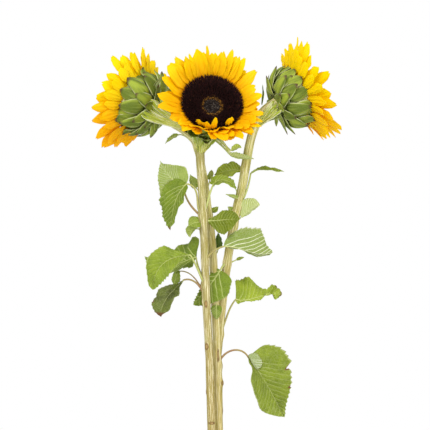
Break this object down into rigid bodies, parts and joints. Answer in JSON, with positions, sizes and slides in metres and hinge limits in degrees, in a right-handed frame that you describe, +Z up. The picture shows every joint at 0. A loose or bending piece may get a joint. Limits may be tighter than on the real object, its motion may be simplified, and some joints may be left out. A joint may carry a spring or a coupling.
{
  "type": "sunflower plant",
  "caption": "Clump of sunflowers on bare pale stems, with golden ray petals, dark discs and small heart-shaped leaves in the upper half.",
  "frame": {"origin": "middle of the flat cut under the clump, at ground level", "axes": "+Z up the stems, +X to the right and +Y away as the clump is usually seen, with the middle flower facing -Y"},
  "size_m": [0.3054, 0.1733, 0.5451],
  "materials": {
    "crown": "fibrous, matt",
    "stem": "ridged, slightly hairy, low sheen",
    "bracts": "leafy, matt",
    "disc": "dense small florets, matt",
    "petals": "thin, soft sheen",
    "leaf": "veined, rough, matt"
  },
  "bodies": {
    "root": {"foot": "crown", "head_front_base": "bracts", "head_front_disc": "disc", "head_front_rays_1": "petals", "head_front_rays_2": "petals", "head_front_rays_3": "petals", "head_front_rays_4": "petals", "head_front_rays_5": "petals", "head_left_base": "bracts", "head_left_disc": "disc", "head_left_rays_1": "petals", "head_left_rays_2": "petals", "head_left_rays_3": "petals", "head_left_rays_4": "petals", "head_left_rays_5": "petals", "head_right_base": "bracts", "head_right_disc": "disc", "head_right_rays_1": "petals", "head_right_rays_2": "petals", "head_right_rays_3": "petals", "head_right_rays_4": "petals", "head_right_rays_5": "petals", "leaf_behind_small": "leaf", "leaf_behind_stems": "leaf", "leaf_between_low": "leaf", "leaf_between_stems": "leaf", "leaf_bract_curl": "leaf", "leaf_bract_right": "leaf", "leaf_folded_right": "leaf", "leaf_high_left": "leaf", "leaf_high_left_front": "leaf", "leaf_high_left_small": "leaf", "leaf_high_middle": "leaf", "leaf_high_right": "leaf", "leaf_high_small": "leaf", "leaf_inner_small": "leaf", "leaf_low_left_behind": "leaf", "leaf_low_left_hanging": "leaf", "leaf_low_left_large": "leaf", "leaf_low_left_small": "leaf", "leaf_low_right_curled": "leaf", "leaf_lowest_right": "leaf", "leaf_mid_left_curled": "leaf", "leaf_mid_left_front": "leaf", "leaf_mid_right_front": "leaf", "leaf_mid_right_large": "leaf", "leaf_mid_right_small": "leaf", "leaf_neck_left": "leaf", "leaf_slender_right": "leaf", "leaf_small_right": "leaf", "neck_front": "stem", "neck_left": "stem", "neck_right": "stem", "stem_front": "stem", "stem_left": "stem", "stem_right": "stem"}
  },
  "joints": []
}
